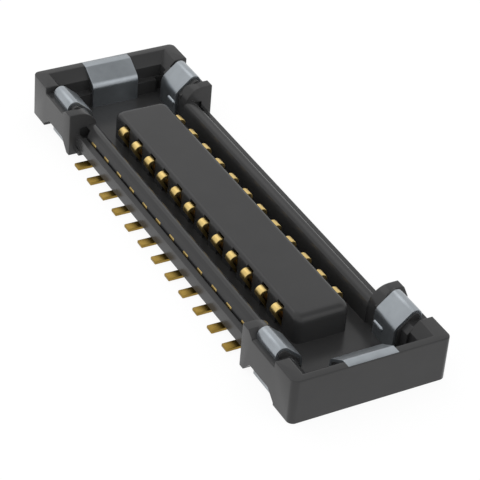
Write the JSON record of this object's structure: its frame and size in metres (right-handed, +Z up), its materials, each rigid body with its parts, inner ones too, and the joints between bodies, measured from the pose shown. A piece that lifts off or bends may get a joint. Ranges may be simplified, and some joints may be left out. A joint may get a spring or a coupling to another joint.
{
  "type": "rectangular connector",
  "caption": "Low board-to-board connector: an open rectangular moulded tray with a raised centre bar, bent metal contacts along both long sides and a formed metal fitting at each end.",
  "frame": {"origin": "centre of the footprint, on the solder plane that the contact tails and the end walls stand on", "axes": "+X along the two contact rows, towards the end nearest the camera; +Y across the rows; +Z up, the way the mating half lifts off"},
  "size_m": [0.0066, 0.002, 0.0006],
  "materials": {
    "housing_plastic": "black moulded plastic, satin",
    "contact_plating": "gold plated spring strip",
    "fitting_plating": "tin plated spring strip, satin"
  },
  "bodies": {
    "root": {"housing": "housing_plastic", "end_fitting_near": "fitting_plating", "end_fitting_far": "fitting_plating", "contact_left_01": "contact_plating", "contact_left_02": "contact_plating", "contact_left_03": "contact_plating", "contact_left_04": "contact_plating", "contact_left_05": "contact_plating", "contact_left_06": "contact_plating", "contact_left_07": "contact_plating", "contact_left_08": "contact_plating", "contact_left_09": "contact_plating", "contact_left_10": "contact_plating", "contact_left_11": "contact_plating", "contact_left_12": "contact_plating", "contact_right_01": "contact_plating", "contact_right_02": "contact_plating", "contact_right_03": "contact_plating", "contact_right_04": "contact_plating", "contact_right_05": "contact_plating", "contact_right_06": "contact_plating", "contact_right_07": "contact_plating", "contact_right_08": "contact_plating", "contact_right_09": "contact_plating", "contact_right_10": "contact_plating", "contact_right_11": "contact_plating", "contact_right_12": "contact_plating"}
  },
  "joints": []
}
